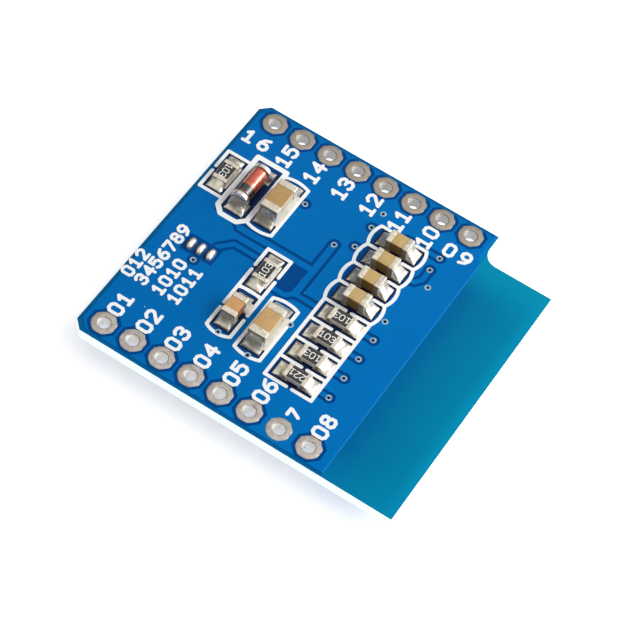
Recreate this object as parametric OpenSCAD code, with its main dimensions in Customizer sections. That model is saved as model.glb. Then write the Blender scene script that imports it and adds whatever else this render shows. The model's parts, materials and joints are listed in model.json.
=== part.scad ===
// Small display module: a two-layer circuit board for plug-in headers, lying on its glass
// display with the component side up.
// Z = 0 is the front of the display. X runs along the pin rows, towards the bare tab.
// Places on the board are written as [x, y]: x from the plain end of the board, y from the
// middle of the pin pattern.

/* [Header pins] */
// Distance from one pin hole to the next in a row
pin_pitch = 2.54; // [2.2:0.01:3]
// Distance between the two rows of pin holes
row_spacing = 22.86; // [22:0.01:26]
// Diameter of a finished pin hole
pin_hole = 1.0; // [0.7:0.05:1.2]
// Width across the flats of an eight-sided pin land
pin_land = 1.9; // [1.5:0.05:2.1]

/* [Board] */
// Thickness of the bare laminate
board_thickness = 1.0; // [0.6:0.1:1.6]
// Laminate from the plain end to the first pin hole
plain_end_margin = 1.82; // [1.5:0.02:3]
// Laminate from the last pin hole to the shoulder
shoulder_margin = 1.8; // [1.4:0.05:3]
// Laminate outside the front row of pins
front_margin = 1.52; // [1.2:0.02:3]
// Laminate outside the rear row of pins
rear_margin = 1.22; // [1.2:0.02:3]
// Length of the bare tab past the shoulder
tab_length = 6.08; // [4:0.02:9]
// How far the rear edge of the tab is set in from the board edge
tab_setback = 2.57; // [1.2:0.01:5]
// Radius in the inner corner of the shoulder
shoulder_radius = 1.15; // [0.3:0.05:1.2]
// Cut across the two corners of the plain end
corner_cut = 0.72; // [0.2:0.02:1.2]

/* [Copper and ink] */
// Copper foil on each face
foil = 0.035; // [0.02:0.005:0.07]
// Solder coat on the bare pin lands
tin = 0.025; // [0.01:0.005:0.05]
// Laminate left bare around the edge of the copper
copper_margin = 0.3; // [0.2:0.05:0.6]
// Width of the gaps etched between copper areas
etch_gap = 0.25; // [0.15:0.01:0.35]
// Width of a signal track
track = 0.4; // [0.2:0.05:0.5]
// Width of the two supply tracks
supply_track = 0.55; // [0.3:0.05:0.7]
// Drill of a via
via_hole = 0.25; // [0.2:0.05:0.4]
// Copper wall plated inside a via
via_plating = 0.05; // [0.03:0.01:0.08]
// Diameter of the copper ring of a via
via_ring = 0.5; // [0.46:0.02:0.8]
// Line width of the printed outlines
ink_line = 0.28; // [0.15:0.01:0.35]
// Line width of the outline around the diode
diode_ink_line = 0.42; // [0.2:0.01:0.5]
// Thickness of the printed ink
ink = 0.02; // [0.01:0.005:0.04]

/* [Chip resistors] */
// Length of a resistor
resistor_length = 1.98; // [1.7:0.02:2.2]
// Width of a resistor
resistor_width = 1.25; // [1:0.05:1.4]
// Height of a resistor
resistor_height = 0.5; // [0.35:0.05:0.7]
// Length of a metal end of a resistor
resistor_end = 0.36; // [0.2:0.02:0.5]
// Thickness of the dark coat over the resistive film
resistor_coat = 0.03; // [0.02:0.005:0.06]

/* [Chip capacitors] */
// Length of a small capacitor
capacitor_length = 1.95; // [1.7:0.05:2.2]
// Width of a small capacitor
capacitor_width = 1.25; // [1:0.05:1.4]
// Height of the four ladder capacitors
ladder_height = 1.12; // [0.7:0.02:1.4]
// Height of the small capacitor beside the ladder
filter_height = 1.05; // [0.7:0.05:1.4]
// Length of a metal end of a small capacitor
capacitor_end = 0.45; // [0.25:0.05:0.6]
// Length of a large capacitor
bulk_length = 3.0; // [2.6:0.05:3.4]
// Width of a large capacitor
bulk_width = 1.55; // [1.2:0.05:1.8]
// Height of the large input capacitor
input_height = 1.45; // [0.8:0.05:1.8]
// Height of the large output capacitor
output_height = 1.3; // [0.8:0.05:1.8]
// Length of a metal end of a large capacitor
bulk_end = 0.6; // [0.3:0.05:0.9]
// Rounding of the tumbled ceramic edges
chip_round = 0.09; // [0.05:0.01:0.14]
// Thickness of the metal over the ends of a chip
end_metal = 0.03; // [0.02:0.005:0.05]

/* [Glass diode] */
// Overall length
diode_length = 3.46; // [3:0.02:3.8]
// Diameter of the metal end caps
diode_cap = 1.56; // [1.3:0.02:1.8]
// Diameter of the glass sleeve
diode_glass = 1.38; // [1.1:0.02:1.5]
// Length of an end cap
diode_cap_length = 0.36; // [0.2:0.02:0.6]
// Diameter of the studs sealed in the glass
diode_stud = 0.84; // [0.5:0.02:0.95]
// Thickness of the die between the studs
diode_die = 0.2; // [0.1:0.02:0.3]
// Length of the painted cathode band
band_length = 0.58; // [0.3:0.02:0.8]

/* [Solder and lands] */
// Land past each end of a small chip
small_toe = 0.74; // [0.4:0.02:1]
// Land past each end of a large chip
large_toe = 0.75; // [0.4:0.05:1.1]
// Land under each end of a chip
land_heel = 0.55; // [0.4:0.05:0.6]
// Extra width of a land over its chip
land_side = 0.05; // [0:0.01:0.15]
// Height of the solder where it leaves the land's outer edge
solder_lip = 0.06; // [0.02:0.01:0.1]
// Length of a solder bridge pad
bridge_pad_length = 1.15; // [0.8:0.05:1.4]
// Width of a solder bridge pad
bridge_pad_width = 0.62; // [0.4:0.02:0.7]
// Distance between solder bridge pads
bridge_pitch = 0.87; // [0.8:0.01:1.2]

/* [Display] */
// Width of the glass, across the pin rows
glass_width = 18.46; // [16:0.02:20]
// Length of the glass, along the pin rows
glass_length = 18.1; // [16:0.1:20]
// Place of the plain-end edge of the glass from the plain end of the board
glass_inset = 3.2; // [2:0.1:5]
// Thickness of the front glass
front_glass_thickness = 0.65; // [0.4:0.05:1]
// Thickness of the cover glass behind it
cover_glass_thickness = 0.6; // [0.4:0.05:1]
// Thickness of the polarising film on the front
polariser_thickness = 0.15; // [0.1:0.01:0.25]
// Ledge of front glass left bare for the driver chip and the flex tail
ledge = 2.6; // [2.4:0.1:4]
// Length of the pixel area, along the pin rows
pixel_length = 10.06; // [8:0.02:11]
// Width of the pixel area, across the pin rows
pixel_width = 13.42; // [11:0.02:14.5]
// Thickness of the foam tape that holds the glass
tape_thickness = 0.35; // [0.3:0.05:1]
// Glass left bare at each side of the flex tail
flex_side = 0.43; // [0.2:0.01:2]
// Thickness of the flex tail
flex_thickness = 0.12; // [0.08:0.01:0.16]
// How far the fold of the flex tail stands past the glass
flex_bulge = 0.95; // [0.7:0.05:2]
// Distance between the solder lands of the flex tail
flex_pitch = 0.62; // [0.5:0.01:0.64]
// Room kept round a via by the solder lands of the flex tail
flex_via_room = 0.1; // [0.05:0.01:0.2]

/* [Hidden] */
$fn = 48;
eps = 0.01;
pins_per_row = 8;
ladder_count = 4;

// Board outline, from the pin pattern and the margins round it
pin_span = (pins_per_row - 1) * pin_pitch;
main_length = plain_end_margin + pin_span + shoulder_margin;
board_length = main_length + tab_length;
board_width = front_margin + row_spacing + rear_margin;
plain_end = -board_length / 2;
pattern_y = -board_width / 2 + front_margin + row_spacing / 2;
front_edge = -front_margin - row_spacing / 2;
rear_edge = row_spacing / 2 + rear_margin;
tab_edge = rear_edge - tab_setback;

// Heights of the stack, from the display front upwards
front_glass_z = polariser_thickness;
cover_glass_z = front_glass_z + front_glass_thickness;
tape_z = cover_glass_z + cover_glass_thickness;
board_z = tape_z + tape_thickness;
board_top = board_z + board_thickness;
foil_top = board_top + foil;
flex_top = board_z - 2 * foil;

// Sizes of the chips: [length, width, height, end, toe of the land]
RESISTOR = [resistor_length, resistor_width, resistor_height, resistor_end, small_toe];
LADDER = [capacitor_length, capacitor_width, ladder_height, capacitor_end, small_toe];
FILTER = [capacitor_length, capacitor_width, filter_height, capacitor_end, small_toe];
INPUT = [bulk_length, bulk_width, input_height, bulk_end, large_toe];
OUTPUT = [bulk_length, bulk_width, output_height, bulk_end, large_toe];
DIODE = [diode_length, diode_cap, diode_cap, diode_cap_length, large_toe];

// Room between a land pattern and the printed outline round it: [at the ends, at the sides]
RESISTOR_ROOM = [0.28, 0.38];
FILTER_ROOM = [0.345, 0.38];
BULK_ROOM = [0.35, 0.3];
DIODE_ROOM = [0.6, 0.5];
outline_gap = 0.5;
// How far the ends of an outline bow out: [front end, rear end]
FILTER_BOW = [0.3, 0.16];
BULK_BOW = [0.22, 0.22];
ladder_bow = 0.26;

// Places: [x, y, turn]
ladder_pitch = 2.032;
ladder_x = 15.78;
LADDER_OUTLINE = [-2.12, 1.88];
resistor_rung_gap = 0.5;
capacitor_rung_gap = 1.9;
resistor_places = concat(
    [[1.44, 5.05, -90], [8.9, -0.8, 90]],
    [for (k = [0:ladder_count - 1]) [ladder_x, -(k + 0.5) * ladder_pitch, 180]]);
capacitor_places = concat(
    [for (k = [0:ladder_count - 1]) [ladder_x, (k + 0.5) * ladder_pitch, 0]],
    [[6.3, 4.92, 90], [11.68, -4.86, 90], [8.9, -4.98, 90]]);
diode_place = [3.84, 4.88, 90];
bridge_place = [3.84, -1.83];

// Vias that stand alone in a cleared ring, and vias that join the copper area
lone_vias = concat(
    [[13.1, 7.55], [13, 5.3], [11.65, 4.5], [7.85, 6.35], [18.75, 8.2], [18.7, 6.85], [3.9, -2.95]],
    [for (k = [0:ladder_count - 1]) [ladder_x + 2.77, -(k + 0.5) * ladder_pitch]]);
ground_vias = [[13.15, 9.15], [19.4, 5.4], [18.4, 0.9], [12.9, -3.5], [11.8, -7.55], [8.95, -7.15]];
all_vias = concat(lone_vias, ground_vias);

// Tracks cut out of the copper area: [width, points]
tracks = concat(
    [[supply_track, [[4.1, 2.6], [5.1, 1.55], [11.65, 1.55]]],
     [supply_track, [[11.65, 4.5], [11.65, -1.016]]],
     [track, [[11.65, -1.016], [ladder_x, -1.016]]],
     [track, [[9.5, -1.55], [11.1, -1.55], [11.65, -1.016]]],
     [track, [[4.7, -1.9], [4.7, -0.9], [5.55, 0.05], [8.9, 0.05]]],
     [track, [[13.1, 7.55], [ladder_x, 7.55]]],
     [track, [[13, 5.3], [ladder_x, 5.3]]],
     [track, [[18.75, 8.2], [ladder_x, 8.2]]],
     [track, [[18.7, 6.85], [18.7, 5.75], [18.3, 5.2], [17.6, 5], [ladder_x, 5]]]],
    [for (k = [0:ladder_count - 1])
        [track, [[ladder_x, -(k + 0.5) * ladder_pitch], [ladder_x + 2.77, -(k + 0.5) * ladder_pitch]]]]);
bare_patch = [[10.05, -1.25], [11.33, 1.22]];
ground_pin = 6;

// ---- frames ----

module on_board(z = 0) {
    translate([plain_end, pattern_y, z])
        children();
}

module at_place(place, z) {
    on_board(z)
        translate([place[0], place[1], 0])
            rotate(place[2])
                children();
}

function pin_x(i) = plain_end_margin + i * pin_pitch;

module each_pin(row) {
    for (i = [0:pins_per_row - 1])
        translate([pin_x(i), row * row_spacing / 2, 0])
            children();
}

// ---- plain shapes ----

module slab(size, z = 0) {
    translate([-size[0] / 2, -size[1] / 2, z])
        cube(size);
}

// Eight-sided land, given by its width across the flats
module octagon(across) {
    rotate(22.5)
        circle(d = across / cos(22.5), $fn = 8);
}

module round_rect(size, r) {
    square([size[0], size[1] - 2 * r], center = true);
    square([size[0] - 2 * r, size[1]], center = true);
    for (sx = [-1, 1], sy = [-1, 1])
        translate([sx * (size[0] / 2 - r), sy * (size[1] / 2 - r)])
            circle(r = r, $fn = 24);
}

// Bar of the section size[1] x size[2] with rounded long edges
module round_bar(size, r, z = 0) {
    translate([-size[0] / 2, 0, z + size[2] / 2])
        rotate([90, 0, 90])
            linear_extrude(size[0])
                round_rect([size[1], size[2]], r);
}

// Block with all its edges rounded, as three crossed bars
module round_block(size, r, z = 0) {
    intersection() {
        round_bar(size, r, z);
        translate([0, size[1] / 2, z + size[2] / 2])
            rotate([90, 0, 0])
                linear_extrude(size[1])
                    round_rect([size[0], size[2]], r);
        translate([0, 0, z])
            linear_extrude(size[2])
                round_rect([size[0], size[1]], r);
    }
}

// Straight stroke between two points
module stroke(p, q, w) {
    d = q - p;
    translate(p)
        rotate(atan2(d[1], d[0]))
            translate([0, -w / 2])
                square([norm(d), w]);
    for (end = [p, q])
        translate(end)
            circle(d = w, $fn = 24);
}

module polyline(points, w) {
    for (i = [0:len(points) - 2])
        stroke(points[i], points[i + 1], w);
}

// Stroke along an arc from p to q that bows to the left of the chord
module bowed_stroke(p, q, bow, w) {
    chord = norm(q - p);
    r = (chord * chord / 4 + bow * bow) / (2 * bow);
    left = [p[1] - q[1], q[0] - p[0]] / chord;
    centre = (p + q) / 2 - left * (r - bow);
    intersection() {
        translate(centre)
            difference() {
                circle(r = r + w / 2, $fn = 96);
                circle(r = r - w / 2, $fn = 96);
            }
        polygon([centre, centre + 1.4 * (p - centre), centre + 1.6 * r * left, centre + 1.4 * (q - centre)]);
    }
    for (end = [p, q])
        translate(end)
            circle(d = w, $fn = 24);
}

// ---- board ----

module board_outline() {
    polygon([
        [corner_cut, front_edge],
        [board_length, front_edge],
        [board_length, tab_edge],
        [main_length, tab_edge],
        [main_length, rear_edge],
        [corner_cut, rear_edge],
        [0, rear_edge - corner_cut],
        [0, front_edge + corner_cut]]);
    // fillet in the inner corner of the shoulder
    difference() {
        translate([main_length, tab_edge])
            square(shoulder_radius);
        translate([main_length + shoulder_radius, tab_edge + shoulder_radius])
            circle(r = shoulder_radius, $fn = 64);
    }
}

module circuit_board() {
    color([0.03, 0.30, 0.58])
        on_board(board_z)
            difference() {
                linear_extrude(board_thickness)
                    board_outline();
                for (row = [-1, 1])
                    each_pin(row)
                        translate([0, 0, -eps])
                            cylinder(d = pin_hole, h = board_thickness + 2 * eps);
                for (v = all_vias)
                    translate([v[0], v[1], -eps])
                        cylinder(d = via_hole + 2 * via_plating, h = board_thickness + 2 * eps, $fn = 24);
            }
}

module pin_lands(row) {
    color([0.72, 0.68, 0.62])
        for (z = [board_z - foil - tin, board_top])
            on_board(z)
                each_pin(row)
                    linear_extrude(foil + tin)
                        difference() {
                            octagon(pin_land);
                            circle(d = pin_hole);
                        }
}

module via_barrels() {
    color([0.75, 0.80, 0.85])
        on_board(board_z)
            for (v = all_vias)
                translate([v[0], v[1], 0])
                    difference() {
                        union() {
                            cylinder(d = via_hole + 2 * via_plating, h = board_thickness, $fn = 24);
                            for (z = [-foil, board_thickness])
                                translate([0, 0, z])
                                    cylinder(d = via_ring, h = foil, $fn = 24);
                        }
                        translate([0, 0, -foil - eps])
                            cylinder(d = via_hole, h = board_thickness + 2 * (foil + eps), $fn = 24);
                    }
}

// ---- copper ----

module copper_area() {
    far = main_length + copper_margin / 2;
    polygon([
        [corner_cut + copper_margin, front_edge + copper_margin],
        [far, front_edge + copper_margin],
        [far, tab_edge - copper_margin],
        [main_length - copper_margin, tab_edge - copper_margin],
        [main_length - copper_margin, rear_edge - copper_margin],
        [corner_cut + copper_margin, rear_edge - copper_margin],
        [copper_margin, rear_edge - corner_cut - copper_margin],
        [copper_margin, front_edge + corner_cut + copper_margin]]);
}

// Bare rings round the pins and vias; the ground pin joins the copper
module clearances() {
    for (row = [-1, 1])
        for (i = [0:pins_per_row - 1])
            translate([pin_x(i), row * row_spacing / 2])
                octagon(pin_land + (row == -1 && i == ground_pin ? 0 : 2 * etch_gap));
    for (v = lone_vias)
        translate(v)
            circle(d = via_ring + 2 * etch_gap, $fn = 32);
    for (v = ground_vias)
        translate(v)
            circle(d = via_ring, $fn = 24);
}

module top_copper() {
    color([0.05, 0.42, 0.72])
        on_board(board_top)
            linear_extrude(foil)
                difference() {
                    union() {
                        difference() {
                            copper_area();
                            for (t = tracks)
                                polyline(t[1], t[0] + 2 * etch_gap);
                            translate(bare_patch[0])
                                square(bare_patch[1] - bare_patch[0]);
                        }
                        for (t = tracks)
                            polyline(t[1], t[0]);
                    }
                    component_windows();
                    clearances_top();
                }
}

// On the top face a lone via that ends a track keeps its copper on the track's side
module clearances_top() {
    difference() {
        clearances();
        for (t = tracks)
            polyline(t[1], t[0]);
    }
    for (v = all_vias)
        translate(v)
            circle(d = via_ring, $fn = 24);
}

module bottom_copper() {
    color([0.05, 0.42, 0.72])
        on_board(board_z - foil)
            linear_extrude(foil)
                difference() {
                    copper_area();
                    clearances();
                    translate([flex_land_x - etch_gap, -flex_width / 2 - etch_gap])
                        square([flex_land + 2 * etch_gap, flex_width + 2 * etch_gap]);
                }
}

// ---- land patterns ----

function land_span(chip) = chip[0] + 2 * chip[4];
function land_width(chip) = chip[1] + land_side;

module land_pair(chip) {
    length = chip[4] + land_heel;
    for (side = [-1, 1])
        translate([side * (land_span(chip) - length) / 2, 0])
            square([length, land_width(chip)], center = true);
}

module land_pattern() {
    for (p = resistor_places)
        at_flat(p)
            land_pair(RESISTOR);
    for (i = [0:len(capacitor_places) - 1])
        at_flat(capacitor_places[i])
            land_pair(capacitor_size(i));
    at_flat(diode_place)
        land_pair(DIODE);
}

module component_lands() {
    color([0.75, 0.74, 0.70])
        on_board(board_top)
            linear_extrude(foil)
                land_pattern();
}

function capacitor_size(i) =
    i < ladder_count ? LADDER : i == ladder_count ? INPUT : i == ladder_count + 1 ? OUTPUT : FILTER;
function is_bulk(i) = i == ladder_count || i == ladder_count + 1;
function capacitor_room(i) = is_bulk(i) ? BULK_ROOM : FILTER_ROOM;

// Half length and half width of the printed outline of a chip
function outline_half(chip, room) = [land_span(chip) / 2 + room[0], land_width(chip) / 2 + room[1]];

module window(chip, room) {
    half = outline_half(chip, room);
    square(2 * half, center = true);
}

module at_flat(place) {
    translate([place[0], place[1]])
        rotate(place[2])
            children();
}

// Laminate with no copper round the chips, up to the middle of the printed outlines
module component_windows() {
    for (i = [0, 1])
        at_flat(resistor_places[i])
            window(RESISTOR, RESISTOR_ROOM);
    for (i = [ladder_count:len(capacitor_places) - 1])
        at_flat(capacitor_places[i])
            window(capacitor_size(i), capacitor_room(i));
    at_flat(diode_place)
        window(DIODE, DIODE_ROOM);
    translate([ladder_x + LADDER_OUTLINE[0], -ladder_count * ladder_pitch])
        square([LADDER_OUTLINE[1] - LADDER_OUTLINE[0], 2 * ladder_count * ladder_pitch]);
    translate([bridge_place[0] - bridge_pitch - bridge_pad_width / 2 - etch_gap,
               bridge_place[1] - bridge_pad_length / 2 - etch_gap])
        square([2 * bridge_pitch + bridge_pad_width + 2 * etch_gap, bridge_pad_length + 2 * etch_gap]);
}

// ---- printed outlines ----

// Box with a gap in the middle of each long side
module bracket_outline(half) {
    for (sx = [-1, 1]) {
        stroke([sx * half[0], -half[1]], [sx * half[0], half[1]], ink_line);
        for (sy = [-1, 1])
            stroke([sx * half[0], sy * half[1]], [sx * outline_gap / 2, sy * half[1]], ink_line);
    }
}

// Box with bowed ends
module bowed_outline(half, gap, bow) {
    for (sx = [-1, 1]) {
        bowed_stroke(
            [sx * half[0], sx * half[1]], [sx * half[0], -sx * half[1]], bow[sx < 0 ? 0 : 1], ink_line);
        for (sy = [-1, 1])
            stroke([sx * half[0], sy * half[1]], [sx * gap / 2, sy * half[1]], ink_line);
    }
}

// Box round the diode, with the two corners cut at the cathode end
module diode_outline(half) {
    cut = 0.6;
    polyline([
        [half[0], -half[1]], [half[0], half[1]], [cut - half[0], half[1]], [-half[0], half[1] - cut],
        [-half[0], cut - half[1]], [cut - half[0], -half[1]], [half[0], -half[1]]], diode_ink_line);
}

// Rungs between the ladder chips and the plain or bowed cells at their ends
module ladder_outline() {
    ends = LADDER_OUTLINE;
    bottom = -ladder_count * ladder_pitch;
    top = ladder_count * ladder_pitch;
    translate([ladder_x, 0]) {
        for (x = ends)
            stroke([x, bottom], [x, 0], ink_line);
        for (k = [0:ladder_count])
            for (x = ends)
                stroke([x, -k * ladder_pitch], [sign(x) * resistor_rung_gap / 2, -k * ladder_pitch], ink_line);
        for (k = [0:ladder_count - 1]) {
            y = k * ladder_pitch;
            bowed_stroke([ends[0], y], [ends[0], y + ladder_pitch], ladder_bow, ink_line);
            bowed_stroke([ends[1], y + ladder_pitch], [ends[1], y], ladder_bow, ink_line);
            for (x = ends)
                stroke([x, y + ladder_pitch], [sign(x) * capacitor_rung_gap / 2, y + ladder_pitch], ink_line);
        }
    }
}

module printed_outlines() {
    color([0.96, 0.97, 0.99])
        on_board(foil_top)
            linear_extrude(ink)
                difference() {
                    union() {
                        for (i = [0, 1])
                            at_flat(resistor_places[i])
                                bracket_outline(outline_half(RESISTOR, RESISTOR_ROOM));
                        for (i = [ladder_count:len(capacitor_places) - 1])
                            at_flat(capacitor_places[i])
                                bowed_outline(
                                    outline_half(capacitor_size(i), capacitor_room(i)),
                                    is_bulk(i) ? 0 : outline_gap,
                                    is_bulk(i) ? BULK_BOW : FILTER_BOW);
                        at_flat(diode_place)
                            diode_outline(outline_half(DIODE, DIODE_ROOM));
                        ladder_outline();
                    }
                    land_pattern();
                    for (v = all_vias)
                        translate(v)
                            circle(d = via_ring, $fn = 24);
                }
}

// ---- chips ----

module chip_body(chip, metal) {
    round_bar([chip[0] - 2 * metal, chip[1] - 2 * metal, chip[2] - 2 * metal], chip_round - metal / 2, metal);
}

module chip_ends(chip) {
    difference() {
        round_block([chip[0], chip[1], chip[2]], chip_round);
        chip_body(chip, end_metal);
        slab([chip[0] - 2 * chip[3], 2 * chip[1], 3 * chip[2]], -chip[2]);
    }
}

module resistor_ceramic(i) {
    color([0.90, 0.89, 0.85])
        at_place(resistor_places[i], foil_top)
            chip_body(RESISTOR, end_metal);
}

module resistor_coat(i) {
    flat = resistor_width - 2 * chip_round;
    color([0.13, 0.12, 0.11])
        at_place(resistor_places[i], foil_top)
            slab([resistor_length - 2 * resistor_end, flat, resistor_coat], resistor_height - end_metal);
}

module resistor_ends(i) {
    color([0.80, 0.79, 0.76])
        at_place(resistor_places[i], foil_top)
            chip_ends(RESISTOR);
}

module capacitor_body(i) {
    color([0.76, 0.62, 0.40])
        at_place(capacitor_places[i], foil_top)
            chip_body(capacitor_size(i), end_metal);
}

module capacitor_ends(i) {
    color([0.82, 0.81, 0.78])
        at_place(capacitor_places[i], foil_top)
            chip_ends(capacitor_size(i));
}

// ---- solder ----

// Hollow-faced fillet that stands on the toe of the land and climbs the chip end
module solder_fillet(chip, climb) {
    run = chip[4];
    rise = climb - solder_lip;
    chord = norm([run, rise]);
    r = 0.8 * chord;
    away = sqrt(r * r - chord * chord / 4) / chord;
    wide = land_width(chip) / 2;
    top = chip[1] / 2 - chip_round;
    for (side = [-1, 1])
        intersection() {
            translate([side * chip[0] / 2, 0, 0])
                mirror([side < 0 ? 1 : 0, 0, 0])
                    rotate([90, 0, 0])
                        translate([0, 0, -wide])
                            linear_extrude(2 * wide)
                                difference() {
                                    polygon([[0, 0], [run, 0], [run, solder_lip], [0, climb]]);
                                    translate([run / 2 + rise * away, (climb + solder_lip) / 2 + run * away])
                                        circle(r = r, $fn = 64);
                                }
            rotate([90, 0, 90])
                translate([0, 0, -land_span(chip)])
                    linear_extrude(2 * land_span(chip))
                        polygon([[-wide, 0], [wide, 0], [top, climb], [-top, climb]]);
        }
}

module resistor_solder() {
    color([0.78, 0.77, 0.74])
        for (p = resistor_places)
            at_place(p, foil_top)
                solder_fillet(RESISTOR, resistor_height - chip_round);
}

module capacitor_solder() {
    color([0.78, 0.77, 0.74])
        for (i = [0:len(capacitor_places) - 1])
            at_place(capacitor_places[i], foil_top)
                solder_fillet(capacitor_size(i), 0.62 * capacitor_size(i)[2]);
}

// ---- glass diode ----

module diode_axis() {
    at_place(diode_place, foil_top + diode_cap / 2)
        rotate([0, 90, 0])
            children();
}

module diode_tube(d, length, offset = 0) {
    translate([0, 0, offset - length / 2])
        cylinder(d = d, h = length);
}

sleeve_length = diode_length - 2 * diode_cap_length;

module diode_glass_sleeve() {
    color([0.85, 0.45, 0.30, 0.5])
        diode_axis()
            difference() {
                diode_tube(diode_glass, sleeve_length);
                diode_tube(diode_stud, sleeve_length + eps);
            }
}

module diode_end_caps() {
    stud_length = (sleeve_length - diode_die) / 2;
    color([0.82, 0.82, 0.80])
        diode_axis()
            for (side = [-1, 1])
                union() {
                    diode_tube(diode_cap, diode_cap_length, side * (diode_length - diode_cap_length) / 2);
                    diode_tube(diode_stud, stud_length, side * (stud_length + diode_die) / 2);
                }
}

module diode_die() {
    color([0.25, 0.25, 0.28])
        diode_axis()
            diode_tube(diode_stud, diode_die);
}

module diode_cathode_band() {
    from_cap = 0.25;
    middle = -sleeve_length / 2 + from_cap + band_length / 2;
    color([0.05, 0.04, 0.04])
        diode_axis()
            difference() {
                diode_tube(diode_glass + 2 * ink, band_length, middle);
                diode_tube(diode_glass, band_length + eps, middle);
            }
}

module diode_solder() {
    saddle = 0.42 * diode_cap;
    color([0.78, 0.77, 0.74])
        difference() {
            at_place(diode_place, foil_top) {
                solder_fillet(DIODE, 0.55 * diode_cap);
                for (side = [-1, 1])
                    translate([side * (diode_length - diode_cap_length) / 2, 0, 0])
                        slab([diode_cap_length, 0.8 * diode_cap, saddle / 2]);
            }
            diode_axis()
                diode_tube(diode_cap, diode_length);
        }
}

// ---- solder bridge ----

// Three pads side by side, each with a pillow of solder
module bridge_pads() {
    swell = 0.22;
    length = bridge_pad_length;
    width = bridge_pad_width;
    function rim_radius(w) = (w * w / 4 + swell * swell) / (2 * swell);
    color([0.80, 0.79, 0.76])
        on_board(board_top)
            for (k = [-1:1])
                translate([bridge_place[0] + k * bridge_pitch, bridge_place[1], 0]) {
                    slab([width, length, foil]);
                    intersection() {
                        slab([width, length, swell + foil], foil - eps);
                        translate([0, 0, foil + swell - rim_radius(width)])
                            rotate([90, 0, 0])
                                diode_tube(2 * rim_radius(width), 2 * length);
                        translate([0, 0, foil + swell - rim_radius(length)])
                            rotate([0, 90, 0])
                                diode_tube(2 * rim_radius(length), 2 * width);
                    }
                }
}

// ---- display ----

glass_far = glass_inset + glass_length;
cover_length = glass_length - ledge;
flex_width = glass_width - 2 * flex_side;
flex_land = 1.1;
flex_land_x = glass_far - 1.3;
flex_land_count = floor((flex_width - flex_pitch) / flex_pitch) + 1;

// Sheet of the display: from x, of this size, centred on the pin pattern in y
module sheet(x, size, z) {
    on_board(z)
        translate([x, -size[1] / 2, 0])
            cube(size);
}

module display_polariser() {
    inset = 0.4;
    color([0.08, 0.08, 0.10])
        sheet(glass_inset + inset, [cover_length - 2 * inset, glass_width - 2 * inset, polariser_thickness], 0);
}

module display_front_glass() {
    color([0.55, 0.62, 0.66, 0.5])
        sheet(glass_inset, [glass_length, glass_width, front_glass_thickness], front_glass_z);
}

pixel_film = 0.05;
cavity_depth = 0.2;
cavity_rim = 1.1;

module display_pixel_layer() {
    color([0.10, 0.11, 0.14])
        sheet(
            glass_inset + (cover_length - pixel_length) / 2,
            [pixel_length, pixel_width, pixel_film],
            cover_glass_z);
}

module display_cover_glass() {
    color([0.30, 0.33, 0.36, 0.6])
        difference() {
            sheet(glass_inset, [cover_length, glass_width, cover_glass_thickness], cover_glass_z);
            sheet(
                glass_inset + cavity_rim,
                [cover_length - 2 * cavity_rim, glass_width - 2 * cavity_rim, cavity_depth],
                cover_glass_z - eps);
        }
}

module display_driver_chip() {
    chip_size = [0.9, 9, 0.38];
    color([0.10, 0.10, 0.11])
        sheet(glass_far - ledge + 0.35, chip_size, cover_glass_z);
}

// Flex tail: bonded to the ledge, folded back in a half turn and soldered under the board
module display_flex_tail() {
    bond = 0.95;
    z0 = cover_glass_z;
    outer = (flex_top - z0) / 2;
    fold_x = glass_far + flex_bulge - outer;
    color([0.62, 0.36, 0.10])
        on_board(0)
            translate([0, flex_width / 2, 0])
                rotate([90, 0, 0])
                    linear_extrude(flex_width) {
                        translate([glass_far - bond, z0])
                            square([fold_x - glass_far + bond, flex_thickness]);
                        translate([flex_land_x - 0.2, flex_top - flex_thickness])
                            square([fold_x - flex_land_x + 0.2, flex_thickness]);
                        translate([fold_x, z0 + outer])
                            intersection() {
                                difference() {
                                    circle(r = outer, $fn = 64);
                                    circle(r = outer - flex_thickness, $fn = 64);
                                }
                                translate([0, -outer])
                                    square([outer, 2 * outer]);
                            }
                    }
}

module flex_solder_lands() {
    land_width = 0.34;
    color([0.78, 0.77, 0.74])
        on_board(flex_top)
            linear_extrude(board_z - flex_top)
                difference() {
                    for (i = [0:flex_land_count - 1])
                        translate([
                            flex_land_x, (i - (flex_land_count - 1) / 2) * flex_pitch - land_width / 2])
                            square([flex_land, land_width]);
                    for (v = all_vias)
                        translate(v)
                            circle(d = via_ring + 2 * flex_via_room, $fn = 24);
                }
}

module foam_tape() {
    inset = 0.3;
    color([0.12, 0.12, 0.13])
        sheet(
            glass_inset + inset,
            [cover_length - 2 * inset, glass_width - 2 * inset, tape_thickness - foil],
            tape_z);
}

// ---- nodes ----

circuit_board();
top_copper();
bottom_copper();
pin_lands(1);  // rear_pin_lands
pin_lands(-1);  // front_pin_lands
via_barrels();
component_lands();
bridge_pads();
printed_outlines();
display_polariser();
display_front_glass();
display_pixel_layer();
display_cover_glass();
display_driver_chip();
display_flex_tail();
flex_solder_lands();
foam_tape();
diode_glass_sleeve();
diode_end_caps();
diode_die();
diode_cathode_band();
diode_solder();
resistor_solder();
capacitor_solder();
for (i = [0:len(resistor_places) - 1]) {
    resistor_ceramic(i);
    resistor_coat(i);
    resistor_ends(i);
}
for (i = [0:len(capacitor_places) - 1]) {
    capacitor_body(i);
    capacitor_ends(i);
}
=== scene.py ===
# %% [markdown]
# # A small display module, lying face down
# The real thing is a blue circuit board a little over 27 mm long. It carries two rows of plated
# pin holes and a handful of chip parts, and its glass display is stuck to the far side. The
# exact solids come from the CAD pack. Here they get their finishes, and the few pieces whose
# real shape is soft or rounded, such as solder, are modelled anew over them.

# %% The CAD frame
import json
import math

import bmesh
import bpy
from mathutils import Matrix, Vector, noise


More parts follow.
